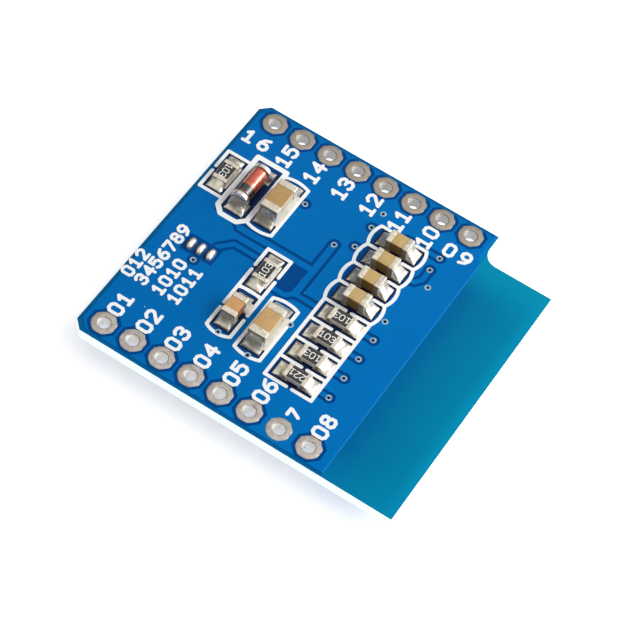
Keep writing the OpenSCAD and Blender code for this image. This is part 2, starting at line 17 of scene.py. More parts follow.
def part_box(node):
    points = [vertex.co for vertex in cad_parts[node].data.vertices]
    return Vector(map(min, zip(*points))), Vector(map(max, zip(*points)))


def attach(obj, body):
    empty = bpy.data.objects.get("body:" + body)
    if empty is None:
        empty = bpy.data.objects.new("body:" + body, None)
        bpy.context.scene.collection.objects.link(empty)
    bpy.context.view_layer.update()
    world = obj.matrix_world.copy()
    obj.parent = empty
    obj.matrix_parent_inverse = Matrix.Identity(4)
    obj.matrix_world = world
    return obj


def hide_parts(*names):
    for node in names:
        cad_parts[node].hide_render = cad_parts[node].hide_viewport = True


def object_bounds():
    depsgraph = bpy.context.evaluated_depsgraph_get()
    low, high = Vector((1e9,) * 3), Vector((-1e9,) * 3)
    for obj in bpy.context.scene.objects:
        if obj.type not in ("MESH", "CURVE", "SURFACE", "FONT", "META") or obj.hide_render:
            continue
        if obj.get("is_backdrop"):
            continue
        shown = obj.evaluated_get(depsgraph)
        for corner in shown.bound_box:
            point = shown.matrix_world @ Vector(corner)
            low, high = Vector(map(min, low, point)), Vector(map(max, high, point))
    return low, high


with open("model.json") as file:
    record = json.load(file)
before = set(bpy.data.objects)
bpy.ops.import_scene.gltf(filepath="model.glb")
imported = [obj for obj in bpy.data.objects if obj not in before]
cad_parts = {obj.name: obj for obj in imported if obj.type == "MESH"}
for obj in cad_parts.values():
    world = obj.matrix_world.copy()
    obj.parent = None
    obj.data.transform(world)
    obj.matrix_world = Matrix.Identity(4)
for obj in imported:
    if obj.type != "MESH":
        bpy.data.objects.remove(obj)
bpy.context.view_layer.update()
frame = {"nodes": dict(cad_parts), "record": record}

MM = 0.001
nodes = frame["nodes"]

# %% [markdown]
# ## Places taken from the solids
# Nothing here is placed by eye. The pin holes are mounts in the record, so their centres and
# their radius are read from there, and every chip's place and size is the box of its metal ends.
# The dark windows round the chips' lands, partly bare laminate where the lacquer stops short
# and partly painted shade from the chips, follow from the same boxes.

# %% Pins and board
pins = {"rear": [], "front": []}
for mount in frame["record"]["mounts"]:
    if mount["kind"] == "bore":
        row = mount["name"].split("_")[0]
        pins[row].append(Vector(mount["pos_m"]))
        pin_hole_radius = mount["dims"]["r_mm"] * MM
for row in pins:
    pins[row].sort(key=lambda p: p.x)

board_low, board_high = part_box("circuit_board")
copper_low, copper_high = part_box("top_copper")
land_low, land_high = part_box("rear_pin_lands")
board_top = board_high.z
foil_top = copper_high.z


def outline_reach(node, along, level, axis, pick):
    """How far a solid's outline reaches along an axis, on the line where another is level."""
    on_line = [v.co[axis] for v in nodes[node].data.vertices if abs(v.co[along] - level) < 1e-5]
    return pick(on_line)


corner_cut = outline_reach("top_copper", 1, copper_low.y, 0, min) - copper_low.x
shoulder_x = outline_reach("top_copper", 1, copper_high.y, 0, max)
shoulder_y = outline_reach("top_copper", 0, copper_high.x, 1, max)
print("pins in a row:", len(pins["rear"]), "board top at", round(board_top / MM, 3), "mm")


# %% Chips
def chip(ends_node):
    """Centre, size and direction of a chip, from the box of its metal ends."""
    low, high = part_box(ends_node)
    size = high - low
    along_x = size.x > size.y
    return {
        "centre": (low + high) / 2,
        "length": max(size.x, size.y),
        "width": min(size.x, size.y),
        "height": size.z,
        "turn": 0.0 if along_x else math.pi / 2,
        "top": high.z,
    }


resistors = [chip(f"resistor_{i}_ends") for i in range(1, 7)]
capacitors = [chip(f"capacitor_{i}_ends") for i in range(1, 8)]
diode = chip("diode_end_caps")
print("chips:", len(resistors), "resistors and", len(capacitors), "capacitors")


# %% Windows in the lacquer
def land_window(parts, beyond=0.9, beside=0.3):
    """The low and high corners of the area round some chips. It reaches this many millimetres
    beyond their ends and beside them, which leaves room for their lands."""
    corners = []
    for part in parts:
        out = Vector((part["length"] / 2 + beyond * MM, part["width"] / 2 + beside * MM))
        out = out if part["turn"] == 0 else out.yx
        corners += [part["centre"].xy - out, part["centre"].xy + out]
    xs, ys = [c.x for c in corners], [c.y for c in corners]
    return Vector((min(xs), min(ys))), Vector((max(xs), max(ys)))


ladder = resistors[2:] + capacitors[:4]
windows = [land_window(ladder)] + [
    land_window([part]) for part in resistors[:2] + capacitors[4:] + [diode]
]
print("windows in the lacquer:", len(windows))

# %% [markdown]
# ## Small helpers
# A finish is a little network of shader nodes. `add` makes one node, fills its sockets and
# links what has to be linked, so that a material reads like a short recipe. `wash` lays one
# colour over another, and `feed` and `bumps` link the outcome to the shader. `piece` turns a
# bmesh into an object that rides on the CAD body.

# %% Node helpers
def srgb(red, green, blue):
    """A colour given as on a screen, 0 to 255, in the linear numbers that shaders use."""

    def linear(c):
        c = c / 255
        return c / 12.92 if c <= 0.04045 else ((c + 0.055) / 1.055) ** 2.4

    return (linear(red), linear(green), linear(blue), 1.0)


def add(tree, kind, inputs=None, **settings):
    """Adds a shader node. An input that is a socket is linked, and any other is set."""
    made = tree.nodes.new("ShaderNode" + kind)
    for name, value in settings.items():
        setattr(made, name, value)
    for name, value in (inputs or {}).items():
        socket = made.inputs[name]
        if isinstance(value, bpy.types.NodeSocket):
            tree.links.new(value, socket)
        else:
            socket.default_value = value
    return made


def math_node(tree, operation, *values, clamp=False):
    """One Math node, given by its operation and its numbers or sockets."""
    return add(
        tree, "Math", dict(enumerate(values)), operation=operation, use_clamp=clamp
    ).outputs["Value"]


def blend(tree, mask, low, high):
    """A colour that goes from low to high as the mask goes from 0 to 1."""
    made = add(tree, "Mix", data_type="RGBA", clamp_factor=True)
    for index, value in ((0, mask), (6, low), (7, high)):
        if isinstance(value, bpy.types.NodeSocket):
            tree.links.new(value, made.inputs[index])
        else:
            made.inputs[index].default_value = value
    return made.outputs[2]


def ramp(tree, value, start, end, low=0.0, high=1.0):
    """A smooth step: low up to start, high from end on."""
    return add(
        tree,
        "MapRange",
        {"Value": value, "From Min": start, "From Max": end, "To Min": low, "To Max": high},
        interpolation_type="SMOOTHSTEP",
    ).outputs["Result"]


def millimetres(tree):
    """Object coordinates, in millimetres."""
    where = add(tree, "TexCoord").outputs["Object"]
    return add(
        tree, "VectorMath", {0: where, 3: 1 / MM}, operation="SCALE"
    ).outputs["Vector"]


def parts_of(tree, vector):
    """The X, Y and Z of a vector."""
    return add(tree, "SeparateXYZ", {"Vector": vector}).outputs


def facing(tree):
    """The X, Y and Z of the direction that the surface looks in."""
    return parts_of(tree, add(tree, "NewGeometry").outputs["Normal"])


def wash(tree, colour, mask, share, other):
    """Lays this share of another colour over one, where the mask is 1."""
    return blend(tree, math_node(tree, "MULTIPLY", mask, share), colour, other)


def feed(tree, shader, **sockets):
    """Links colours and masks to the shader, with an underscore for each space in a name."""
    for name, value in sockets.items():
        tree.links.new(value, shader.inputs[name.replace("_", " ")])


def bumps(tree, shader, height, strength, depth):
    """Gives a finish fine relief, with its depth in millimetres."""
    made = add(tree, "Bump", {"Height": height, "Strength": strength, "Distance": depth * MM})
    feed(tree, shader, Normal=made.outputs["Normal"])


# %% Materials and pieces
materials = {}


def finish_material(slot, **sockets):
    """A new material, kept under its slot's name, with its Principled shader. Sockets are set
    by name, with an underscore for each space."""
    material = bpy.data.materials.new(slot)
    material.use_nodes = True
    tree = material.node_tree
    shader = tree.nodes["Principled BSDF"]
    for name, value in sockets.items():
        shader.inputs[name.replace("_", " ")].default_value = value
    materials[slot] = material
    return tree, shader


def piece(name, bm, slot, *replaced, angle=40, finish=None):
    """Makes an object of a bmesh, smooth up to an angle, in the place of CAD nodes. It wears
    the material of its slot, or another finish."""
    mesh = bpy.data.meshes.new(name)
    bm.to_mesh(mesh)
    bm.free()
    mesh.shade_smooth()
    mesh.set_sharp_from_angle(angle=math.radians(angle))
    made = bpy.data.objects.new(name, mesh)
    bpy.context.scene.collection.objects.link(made)
    made.data.materials.append(materials[finish or slot])
    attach(made, "root")
    if replaced:
        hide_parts(*replaced)
    print(name, "has", len(mesh.polygons), "faces")


# %% [markdown]
# ## Effects that several finishes share
# Three shader groups are built once. *Mottle* is the cloudy unevenness of solder, tin, glaze
# and ink. *Grain* is the fine tooth of fired ceramic, foam and cut laminate. *Dust* is the
# sparse pale specks that settle on any flat part. Each gives a mask or a height that the
# material then uses in its own way.

# %% Shader groups
def new_group(name, inputs, outputs):
    """An empty shader group with named number sockets, and its input and output nodes."""
    group = bpy.data.node_groups.new(name, "ShaderNodeTree")
    for label, start in inputs.items():
        socket = group.interface.new_socket(label, in_out="INPUT", socket_type="NodeSocketFloat")
        socket.default_value = start
    for label in outputs:
        group.interface.new_socket(label, in_out="OUTPUT", socket_type="NodeSocketFloat")
    return group, group.nodes.new("NodeGroupInput"), group.nodes.new("NodeGroupOutput")


def use_group(tree, group, **values):
    """Places a shader group in a material, with its own values."""
    made = tree.nodes.new("ShaderNodeGroup")
    made.node_tree = group
    for name, value in values.items():
        made.inputs[name].default_value = value
    return made.outputs


# %% Mottle
mottle, given, out = new_group(
    "mottle", {"Patch": 0.6, "Contrast": 1.0, "Seed": 0.0}, ["Mask", "Height"]
)
where = millimetres(mottle)
coarse = add(
    mottle, "TexNoise",
    {"Vector": where, "W": given.outputs["Seed"], "Detail": 3.0, "Distortion": 0.7,
     "Scale": math_node(mottle, "DIVIDE", 1.0, given.outputs["Patch"])},
    noise_dimensions="4D",
).outputs["Fac"]
fine = add(
    mottle, "TexNoise",
    {"Vector": where, "W": given.outputs["Seed"], "Detail": 2.0,
     "Scale": math_node(mottle, "DIVIDE", 4.0, given.outputs["Patch"])},
    noise_dimensions="4D",
).outputs["Fac"]
cloud = math_node(mottle, "MULTIPLY_ADD", fine, 0.35, math_node(mottle, "MULTIPLY", coarse, 0.65))
spread = math_node(mottle, "SUBTRACT", cloud, 0.5)
spread = math_node(mottle, "MULTIPLY", spread, given.outputs["Contrast"])
spread = math_node(mottle, "MULTIPLY_ADD", spread, 3.0, 0.5, clamp=True)
mottle.links.new(spread, out.inputs["Mask"])
mottle.links.new(cloud, out.inputs["Height"])

# %% Grain and dust
grain, given, out = new_group("grain", {"Size": 0.05}, ["Mask"])
cells = add(
    grain, "TexVoronoi",
    {"Vector": millimetres(grain), "Randomness": 1.0,
     "Scale": math_node(grain, "DIVIDE", 1.0, given.outputs["Size"])},
).outputs["Distance"]
grain.links.new(ramp(grain, cells, 0.1, 0.8), out.inputs["Mask"])

dust, given, out = new_group("dust", {"Spacing": 1.2, "Share": 0.12}, ["Mask"])
cells = add(
    dust, "TexVoronoi",
    {"Vector": millimetres(dust), "Randomness": 1.0,
     "Scale": math_node(dust, "DIVIDE", 1.0, given.outputs["Spacing"])},
)
chosen = add(dust, "SeparateColor", {"Color": cells.outputs["Color"]}).outputs
rare = math_node(dust, "LESS_THAN", chosen["Red"], given.outputs["Share"])
radius = math_node(dust, "MULTIPLY_ADD", chosen["Green"], 0.06, 0.02)
away = math_node(dust, "MULTIPLY", cells.outputs["Distance"], given.outputs["Spacing"])
speck = math_node(dust, "LESS_THAN", away, radius)
dust.links.new(math_node(dust, "MULTIPLY", rare, speck), out.inputs["Mask"])
print("groups:", [g.name for g in bpy.data.node_groups])

# %% [markdown]
# ## Blue mask over copper
# The board wears a glossy blue lacquer. Over copper it is a clear mid blue, a little lighter
# towards the tab. Where the copper ends, the slope of lacquer over its edge catches the light,
# and that is painted as a thin lighter line, a painted highlight. The lacquer's own gloss is
# blue as well, so the reflection is tinted and the colour stays deep.

# %% Masked copper
BLUE_GLOSS = (0.0, 0.45, 1.0, 1.0)
tree, shader = finish_material("masked_copper", Specular_Tint=BLUE_GLOSS)
x = parts_of(tree, millimetres(tree))["X"]
edge_x = copper_high.x / MM  # here the copper ends and the tab begins
blue = blend(
    tree, ramp(tree, x, copper_low.x / MM, edge_x), srgb(0, 104, 178), srgb(0, 112, 187)
)
cloudy = use_group(tree, mottle, Patch=2.5, Contrast=0.8, Seed=3.0)["Mask"]
blue = wash(tree, blue, cloudy, 0.35, srgb(0, 97, 171))
# painted highlight: a lighter line along the copper's edge, where the lacquer's slope catches the
# light
edge_highlight_paint = ramp(tree, x, edge_x - 0.12, edge_x - 0.03)
blue = wash(tree, blue, edge_highlight_paint, 0.55, srgb(40, 150, 225))
specks = use_group(tree, dust, Spacing=0.8, Share=0.07)["Mask"]
blue = wash(tree, blue, specks, 0.75, srgb(190, 222, 245))
feed(tree, shader, Base_Color=blue, Roughness=ramp(tree, cloudy, 0, 1, 0.28, 0.42))
ripple = use_group(tree, mottle, Patch=0.5, Contrast=1.0, Seed=8.0)["Height"]
bumps(tree, shader, ripple, 0.12, 0.02)
print("the copper ends at x =", round(edge_x, 2), "mm")

# %% [markdown]
# ## Blue mask over bare laminate
# Where copper is etched away the lacquer lies on glass laminate. In the gaps between copper
# areas the copper on the far side makes it navy. The tab past the pin rows has no copper on
# either face, so light passes through it, and that light is painted into its teal: darkest
# beside the copper and lighter towards the outer edges. Round the lands of the chips the
# lacquer is held back, and there the colour is nearly black, partly bare laminate and partly
# painted shade from the chips. The sawn edge shows the laminate too, pale and faintly green,
# with a painted glow for the light that has run through the board and leaves there.

# %% A rectangle as a mask
def within(tree, place, low, high, soft=0.03):
    """A mask of a rectangle in plan, given by two of its corners, with soft edges."""
    masks = []
    for axis, name in enumerate("XY"):
        middle = (low[axis] + high[axis]) / (2 * MM)
        half = (high[axis] - low[axis]) / (2 * MM)
        away = math_node(tree, "ABSOLUTE", math_node(tree, "SUBTRACT", place[name], middle))
        masks.append(ramp(tree, away, half + soft, half - soft))
    return math_node(tree, "MULTIPLY", *masks)


# %% The tab, from the copper's edge outwards
tree, shader = finish_material("laminate_blue", Specular_Tint=BLUE_GLOSS)
where = millimetres(tree)
place = parts_of(tree, where)
x, y = place["X"], place["Y"]
end_x, front_y, notch_y = board_high.x / MM, board_low.y / MM, shoulder_y / MM
# painted light: the light that shines through the translucent tab is painted into this teal,
# darker beside the copper and lighter towards the outer edges
teal = blend(tree, ramp(tree, x, edge_x, edge_x + 2.2), srgb(0, 99, 154), srgb(0, 115, 157))
teal = blend(tree, ramp(tree, x, edge_x + 1.5, end_x - 0.6), teal, srgb(0, 127, 164))
teal = blend(tree, ramp(tree, x, end_x - 1.3, end_x), teal, srgb(2, 142, 182))
teal = wash(tree, teal, ramp(tree, y, notch_y - 3.6, notch_y), 0.85, srgb(2, 146, 180))
teal = wash(tree, teal, ramp(tree, y, front_y + 3.5, front_y), 0.3, srgb(4, 140, 186))
print("the tab is", round(end_x - edge_x, 2), "mm wide")

# %% Navy inside the outline of the far copper, whose corners and shoulder are cut
left = math_node(tree, "SUBTRACT", x, copper_low.x / MM)
front = math_node(tree, "SUBTRACT", y, copper_low.y / MM)
rear = math_node(tree, "SUBTRACT", copper_high.y / MM, y)
cut = corner_cut / MM
inside = ramp(tree, x, edge_x + 0.03, edge_x - 0.03)
for value, limit in (
    (left, 0), (front, 0), (rear, 0),
    (math_node(tree, "ADD", left, front), cut), (math_node(tree, "ADD", left, rear), cut),
):
    inside = math_node(tree, "MULTIPLY", inside, ramp(tree, value, limit - 0.05, limit + 0.05))
notch = math_node(
    tree, "MULTIPLY", math_node(tree, "GREATER_THAN", x, shoulder_x / MM),
    math_node(tree, "GREATER_THAN", y, notch_y),
)
inside = math_node(tree, "SUBTRACT", inside, notch, clamp=True)
rim = blend(tree, ramp(tree, left, 0.0, -0.05), srgb(0, 92, 152), srgb(2, 86, 132))
rim = blend(tree, notch, rim, srgb(0, 124, 190))
strip = blend(tree, ramp(tree, x, edge_x - 0.1, edge_x), rim, teal)
mask_blue = blend(tree, inside, strip, srgb(0, 62, 132))
print("corners cut by", round(cut, 2), "mm")

# %% Bare windows with painted shade, and the sawn edge with a painted glow
bare_and_shaded = 0.0
for low, high in windows:
    bare_and_shaded = math_node(tree, "MAXIMUM", bare_and_shaded, within(tree, place, low, high))
bare_and_shaded = math_node(tree, "MULTIPLY", bare_and_shaded, inside)
# the windows are painted nearly black: partly the bare laminate, partly painted shade from the
# chips
mask_blue = blend(tree, bare_and_shaded, mask_blue, srgb(28, 22, 60))
cloudy = use_group(tree, mottle, Patch=3.0, Contrast=0.8, Seed=1.0)["Mask"]
mask_blue = wash(tree, mask_blue, cloudy, 0.10, srgb(0, 80, 130))
specks = use_group(tree, dust, Spacing=1.1, Share=0.05)["Mask"]
mask_blue = wash(tree, mask_blue, specks, 0.5, srgb(150, 210, 225))
flat_face = ramp(tree, math_node(tree, "ABSOLUTE", facing(tree)["Z"]), 0.3, 0.7)
layers = add(
    tree, "TexWave", {"Vector": where, "Scale": 1.6, "Distortion": 1.5, "Detail": 2.0},
    bands_direction="Z",
).outputs["Fac"]
laminate = blend(tree, layers, srgb(226, 240, 226), srgb(244, 250, 242))
# painted glow: the sawn edge emits a faint light of its own, which stands for light that runs
# through the board and leaves at its edge
feed(
    tree, shader,
    Base_Color=blend(tree, flat_face, laminate, mask_blue),
    Roughness=ramp(tree, flat_face, 0, 1, 0.7, 0.36),
    Emission_Color=blend(tree, flat_face, srgb(232, 255, 252), (0.0, 0.0, 0.0, 1.0)),
)
shader.inputs["Emission Strength"].default_value = 0.45
bumps(tree, shader, use_group(tree, grain, Size=0.12)["Mask"], 0.06, 0.01)
print("the sawn edge glows with strength", shader.inputs["Emission Strength"].default_value)

# %% [markdown]
# ## Tin, solder and plated ends
# Nearly all the bare metal is tin, but each kind has cooled in its own way. The pin lands are a
# thin dull coat with a warm grey cast. Solder is bright, and wrinkled where it froze. The plated
# ends of the chips are satin. Their front sides, and the sides of the solder that face away from
# the light, are painted darker as painted shade. One function writes all the metals from a light
# and a dark tone, so that they stay one family.

# %% One function for bare metal
def towards(tree, axis, start, end):
    """A mask of the faces that look along an axis."""
    return ramp(tree, facing(tree)[axis], start, end)


def metal(slot, light, dark, rough, patch, seed, contrast=1.0, bump_height=0.01, metallic=1.0):
    """A metal finish: cloudy between two tones, rougher where it is darker. Less than fully
    metallic stands for the oxide and flux that dull a plated surface."""
    tree, shader = finish_material(slot, Metallic=metallic)
    cloudy = use_group(tree, mottle, Patch=patch, Contrast=contrast, Seed=seed)["Mask"]
    colour = blend(tree, cloudy, dark, light)
    feed(tree, shader, Base_Color=colour, Roughness=ramp(tree, cloudy, 0, 1, rough[1], rough[0]))
    relief = use_group(tree, mottle, Patch=patch / 2, Seed=seed + 1)["Height"]
    bumps(tree, shader, relief, 0.6, bump_height)
    print("made", slot)
    return tree, shader, colour


# %% Pin lands and vias
tree, shader, colour = metal(
    "tinned_copper", srgb(208, 200, 192), srgb(166, 158, 149), (0.38, 0.55), 0.5, 11.0
)
flatness = math_node(tree, "ABSOLUTE", facing(tree)["Z"])
# the rear row is darker than the front one
front_mm, rear_mm = -6.0, 8.0
towards_rear = ramp(tree, parts_of(tree, millimetres(tree))["Y"], front_mm, rear_mm, 0.0, 0.55)
colour = blend(tree, towards_rear, colour, srgb(152, 143, 122))
# painted shade: the rounded edges of a land are painted darker
colour = wash(tree, colour, ramp(tree, flatness, 0.98, 0.85), 0.6, srgb(128, 112, 102))
# the plated wall of a pin hole is dull; the light from both ends that fills it is painted in as a
# pale, non-metallic colour
wall = ramp(tree, flatness, 0.45, 0.1)
wall_light_paint = blend(tree, towards_rear, srgb(252, 251, 249), srgb(196, 196, 192))
feed(
    tree, shader,
    Base_Color=blend(tree, wall, colour, wall_light_paint), Metallic=ramp(tree, wall, 0, 1, 1.0, 0.0),
)

metal("via_copper", srgb(196, 214, 226), srgb(104, 142, 172), (0.35, 0.5), 0.22, 15.0, 1.4)

# %% Solder and plated ends
tree, shader, colour = metal(
    "solder", srgb(244, 239, 226), srgb(192, 182, 162), (0.22, 0.42), 0.4, 21.0, 1.1, 0.009, 0.85
)
# painted shade: the sides that look left and the steep front sides are painted darker
colour = wash(tree, colour, towards(tree, "X", -0.25, -0.7), 0.45, srgb(128, 112, 88))
colour = wash(tree, colour, towards(tree, "Y", -0.5, -0.8), 0.4, srgb(116, 108, 96))
feed(tree, shader, Base_Color=colour)

tree, shader, colour = metal(
    "chip_ends", srgb(244, 236, 220), srgb(196, 184, 164), (0.36, 0.55), 0.3, 31.0, 1.2, 0.012, 0.4
)
front_shade_paint = towards(tree, "Y", -0.6, -0.95)  # painted shade on the sides that face the front
feed(tree, shader, Base_Color=blend(tree, front_shade_paint, colour, srgb(146, 138, 122)))

metal("diode_metal", srgb(238, 236, 230), srgb(196, 192, 184), (0.16, 0.34), 0.5, 35.0)

# %% [markdown]
# ## Ceramic, glaze, ink and paint
# The chip bodies are fired ceramic: matt, with a fine tooth and faint clouds of colour. The
# resistors have a dark glaze over a white body. These, the white printing and the black band
# on the diode differ only in colour, gloss and tooth, so one function serves them all.

# %% One function for matt finishes
def matt(slot, light, dark, rough, patch, seed, tooth=0.05, strength=0.25, specular=0.4,
         right=None, front=None):
    """A matt finish: clouds between two colours, with a fine tooth in the surface. The right
    and front sides can be given colours of their own, which paint the light or the shade on them."""
    tree, shader = finish_material(slot, Specular_IOR_Level=specular)
    cloudy = use_group(tree, mottle, Patch=patch, Contrast=1.0, Seed=seed)["Mask"]
    teeth = use_group(tree, grain, Size=tooth)["Mask"]
    mixed = math_node(tree, "MULTIPLY", cloudy, 0.7)
    mixed = math_node(tree, "MULTIPLY_ADD", teeth, 0.3, mixed)
    colour = blend(tree, mixed, dark, light)
    if right:
        colour = blend(tree, towards(tree, "X", 0.5, 0.9), colour, right)
    if front:
        colour = blend(tree, towards(tree, "Y", -0.5, -0.9), colour, front)
    feed(tree, shader, Base_Color=colour, Roughness=ramp(tree, mixed, 0, 1, rough[1], rough[0]))
    bumps(tree, shader, teeth, strength, 0.01)


# %% Ceramic, glaze, ink and paint
FIRED = (0.5, 0.65)  # the roughness of bare fired ceramic
# painted light: the right sides of the large chips face the light and are painted paler
lit_side_paint = srgb(206, 192, 162)
# painted shade: the ladder chips' front sides, away from the light, are painted dark brown
matt(
    "ladder_ceramic", srgb(206, 176, 118), srgb(190, 158, 100), FIRED, 0.6, 41.0,
    front=srgb(126, 96, 52),
)
matt(
    "brown_ceramic", srgb(192, 156, 102), srgb(172, 136, 82), FIRED, 0.6, 43.0, right=lit_side_paint
)
matt("tan_ceramic", srgb(210, 172, 118), srgb(190, 152, 98), FIRED, 0.6, 45.0, right=lit_side_paint)
# painted shade: this small chip's right side is painted darker
matt(
    "orange_ceramic", srgb(216, 164, 110), srgb(200, 144, 90), FIRED, 0.6, 47.0,
    right=srgb(158, 102, 66),
)
matt("white_ceramic", srgb(214, 210, 202), srgb(190, 186, 178), FIRED, 0.5, 49.0)
matt("resistor_coat", srgb(66, 60, 52), srgb(46, 42, 36), (0.3, 0.45), 0.4, 51.0, 0.04, 0.15)
matt("white_ink", srgb(255, 255, 255), srgb(248, 250, 252), (0.5, 0.6), 0.5, 53.0, 0.06, 0.2, 0.3)
matt("band_paint", srgb(30, 24, 22), srgb(16, 13, 12), (0.2, 0.3), 0.3, 55.0, 0.05, 0.06, 1.0)
matt("silicon", srgb(150, 62, 40), srgb(118, 50, 34), (0.12, 0.25), 1.5, 57.0, 0.3, 0.02, 0.8)
matt("black_foam", srgb(34, 34, 36), srgb(16, 16, 18), (0.8, 0.95), 0.4, 59.0, 0.09, 0.9, 0.2)
print("materials so far:", len(materials))

# %% [markdown]
# ## Glass, film and flex
# The display is two sheets of thin glass with a dark polarising film on the front. Glass keeps
# a plain full transmission, and only its roughness and colour vary a little. The flex tail is
# amber film with fine copper lines that run out to its solder lands.

# %% Glass and polariser
def glass(slot, tint, rough, **sockets):
    """Clear glass with a faint tint and the smears of handling."""
    tree, shader = finish_material(slot, Transmission_Weight=1.0, IOR=1.5, **sockets)
    smear = use_group(tree, mottle, Patch=2.0, Contrast=1.0, Seed=61.0)["Mask"]
    feed(
        tree, shader,
        Base_Color=wash(tree, tint, smear, 0.15, srgb(225, 232, 230)),
        Roughness=ramp(tree, smear, 0, 1, rough[0], rough[1]),
    )


glass("display_glass", srgb(228, 240, 236), (0.01, 0.06))
glass("cover_glass", srgb(222, 236, 232), (0.02, 0.08))
# the diode's lead glass shines more
glass(
    "diode_glass", srgb(255, 226, 206), (0.06, 0.1),
    Coat_Weight=0.8, Coat_Roughness=0.2, Coat_IOR=1.7,
)

matt("polariser", srgb(22, 23, 28), srgb(13, 14, 18), (0.1, 0.2), 3.0, 63.0, 0.4, 0.02, 0.6)

# %% Display layer and flex
tree, shader = finish_material("pixel_film", Metallic=0.7, Roughness=0.25)
half_dot = 0.105  # half the pitch of the display's dots, in mm
place = parts_of(tree, millimetres(tree))
across, along = (
    ramp(tree, math_node(tree, "PINGPONG", place[axis], half_dot), 0.01, 0.03)
    for axis in "XY"
)
lit = math_node(tree, "MULTIPLY", across, along)
feed(tree, shader, Base_Color=blend(tree, lit, srgb(60, 62, 70), srgb(120, 122, 132)))

tree, shader = finish_material("flex_film", Roughness=0.3)
half_strand = 0.31  # half the pitch of the copper lines, in mm
strand = math_node(tree, "PINGPONG", parts_of(tree, millimetres(tree))["Y"], half_strand)
copper_line = ramp(tree, strand, 0.16, 0.2)
cloudy = use_group(tree, mottle, Patch=2.0, Contrast=0.8, Seed=65.0)["Mask"]
film = blend(tree, cloudy, srgb(176, 98, 22), srgb(202, 124, 38))
feed(tree, shader, Base_Color=wash(tree, film, copper_line, 0.75, srgb(226, 158, 84)))
bumps(tree, shader, copper_line, 0.5, 0.02)
print("materials:", len(materials))

# %% [markdown]
# ## Dressing the solids
# Most solids are already the right shape, so they only take their finish. The record names a
# slot for each, and that name picks the material.

# %% Finishes onto the solids
slots = {part["node"]: part["material_slot"] for part in frame["record"]["subparts"]}
for node, slot in slots.items():
    for holder in nodes[node].material_slots:
        holder.material = materials[slot]
nodes["component_lands"].material_slots[0].material = materials["solder"]  # wetted all over
print("dressed", len(slots), "solids")

# %% [markdown]
# ## Rounded chips
# A fired chip has no sharp edges, and its dipped ends least of all. A copy of each solid is
# welded, its flat faces are joined, and every sharp edge is rounded with a bevel.

# %% Chips with rounded edges
def rounded(node, radius):
    """Stands in for a solid with a copy whose sharp edges are rounded."""
    bm = bmesh.new()
    bm.from_mesh(nodes[node].data)
    bmesh.ops.remove_doubles(bm, verts=bm.verts, dist=1e-7)
    bmesh.ops.dissolve_limit(
        bm, angle_limit=math.radians(1), verts=bm.verts, edges=bm.edges, delimit={"NORMAL"}
    )
    sharp = [e for e in bm.edges if e.calc_face_angle(0) > math.radians(30)]
    bmesh.ops.bevel(
        bm, geom=sharp, offset=radius, segments=3, profile=0.5, affect="EDGES", material=-1,
        clamp_overlap=True,
    )
    piece(f"{node}_rounded", bm, slots[node], node, angle=50)


body_edge, thick_end_edge, thin_end_edge = 0.03 * MM, 0.05 * MM, 0.035 * MM
for i in range(1, len(capacitors) + 1):
    rounded(f"capacitor_{i}_body", body_edge)
    rounded(f"capacitor_{i}_ends", thick_end_edge)
for i in range(1, len(resistors) + 1):
    rounded(f"resistor_{i}_ends", thin_end_edge)

# %% [markdown]
# ## Pin lands
# Each pin hole is a plated tube with an eight-sided land on both faces. A section of tube and
# lands is spun round the hole, then eight planes cut the round flange to its flats, and the
# cut rim is drawn down to the board and rounded, as the tin does there.

# %% One pin land
def quarter(steps=4):
    """The sine and cosine at each step of a quarter turn, to round a corner of a section."""
    for step in range(steps + 1):
        angle = math.radians(90 * step / steps)
        yield math.sin(angle), math.cos(angle)


def pin_land():
    """A plated hole with its two lands, centred on the hole at the middle of the board."""
    top = land_high.z - (land_low.z + land_high.z) / 2
    thickness = land_high.z - board_top
    flat = (land_high.y - land_low.y) / 2  # half the width across the flats
    tube = pin_hole_radius - 0.01 * MM
    lip = 0.07 * MM
    rim_edge = 0.06 * MM
    bm = bmesh.new()
    # the tin is thickest round the hole and falls away towards the rim
    section = [
        (1.3 * flat, top - 0.075 * MM), (flat, top - 0.028 * MM), (0.86 * flat, top - 0.008 * MM),
        (tube + 2 * lip, top),
    ]
    section += [(tube + lip * (1 - sine), top - lip * (1 - cosine)) for sine, cosine in quarter()]
    section += [(radius, -height) for radius, height in reversed(section)]
    line = [bm.verts.new((radius, 0, height)) for radius, height in section]
    edges = [bm.edges.new(pair) for pair in zip(line, line[1:])]
    bmesh.ops.spin(
        bm, geom=line + edges, axis=(0, 0, 1), cent=(0, 0, 0), angle=2 * math.pi, steps=48,
        use_merge=True,
    )
    for step in range(8):
        angle = math.radians(45 * step)
        out = Vector((math.cos(angle), math.sin(angle), 0))
        bmesh.ops.bisect_plane(
            bm, geom=bm.verts[:] + bm.edges[:] + bm.faces[:], plane_co=out * flat, plane_no=out,
            clear_outer=True,
        )
    rim = [e for e in bm.edges if e.is_boundary]
    skirt = bmesh.ops.extrude_edge_only(bm, edges=rim)["geom"]
    for v in (g for g in skirt if isinstance(g, bmesh.types.BMVert)):
        v.co.z -= math.copysign(thickness, v.co.z)
    bmesh.ops.bevel(
        bm, geom=[e for e in rim if e.is_valid], offset=rim_edge, segments=3, profile=0.5,
        affect="EDGES", material=-1,
    )
    bmesh.ops.recalc_face_normals(bm, faces=bm.faces)
    return bm


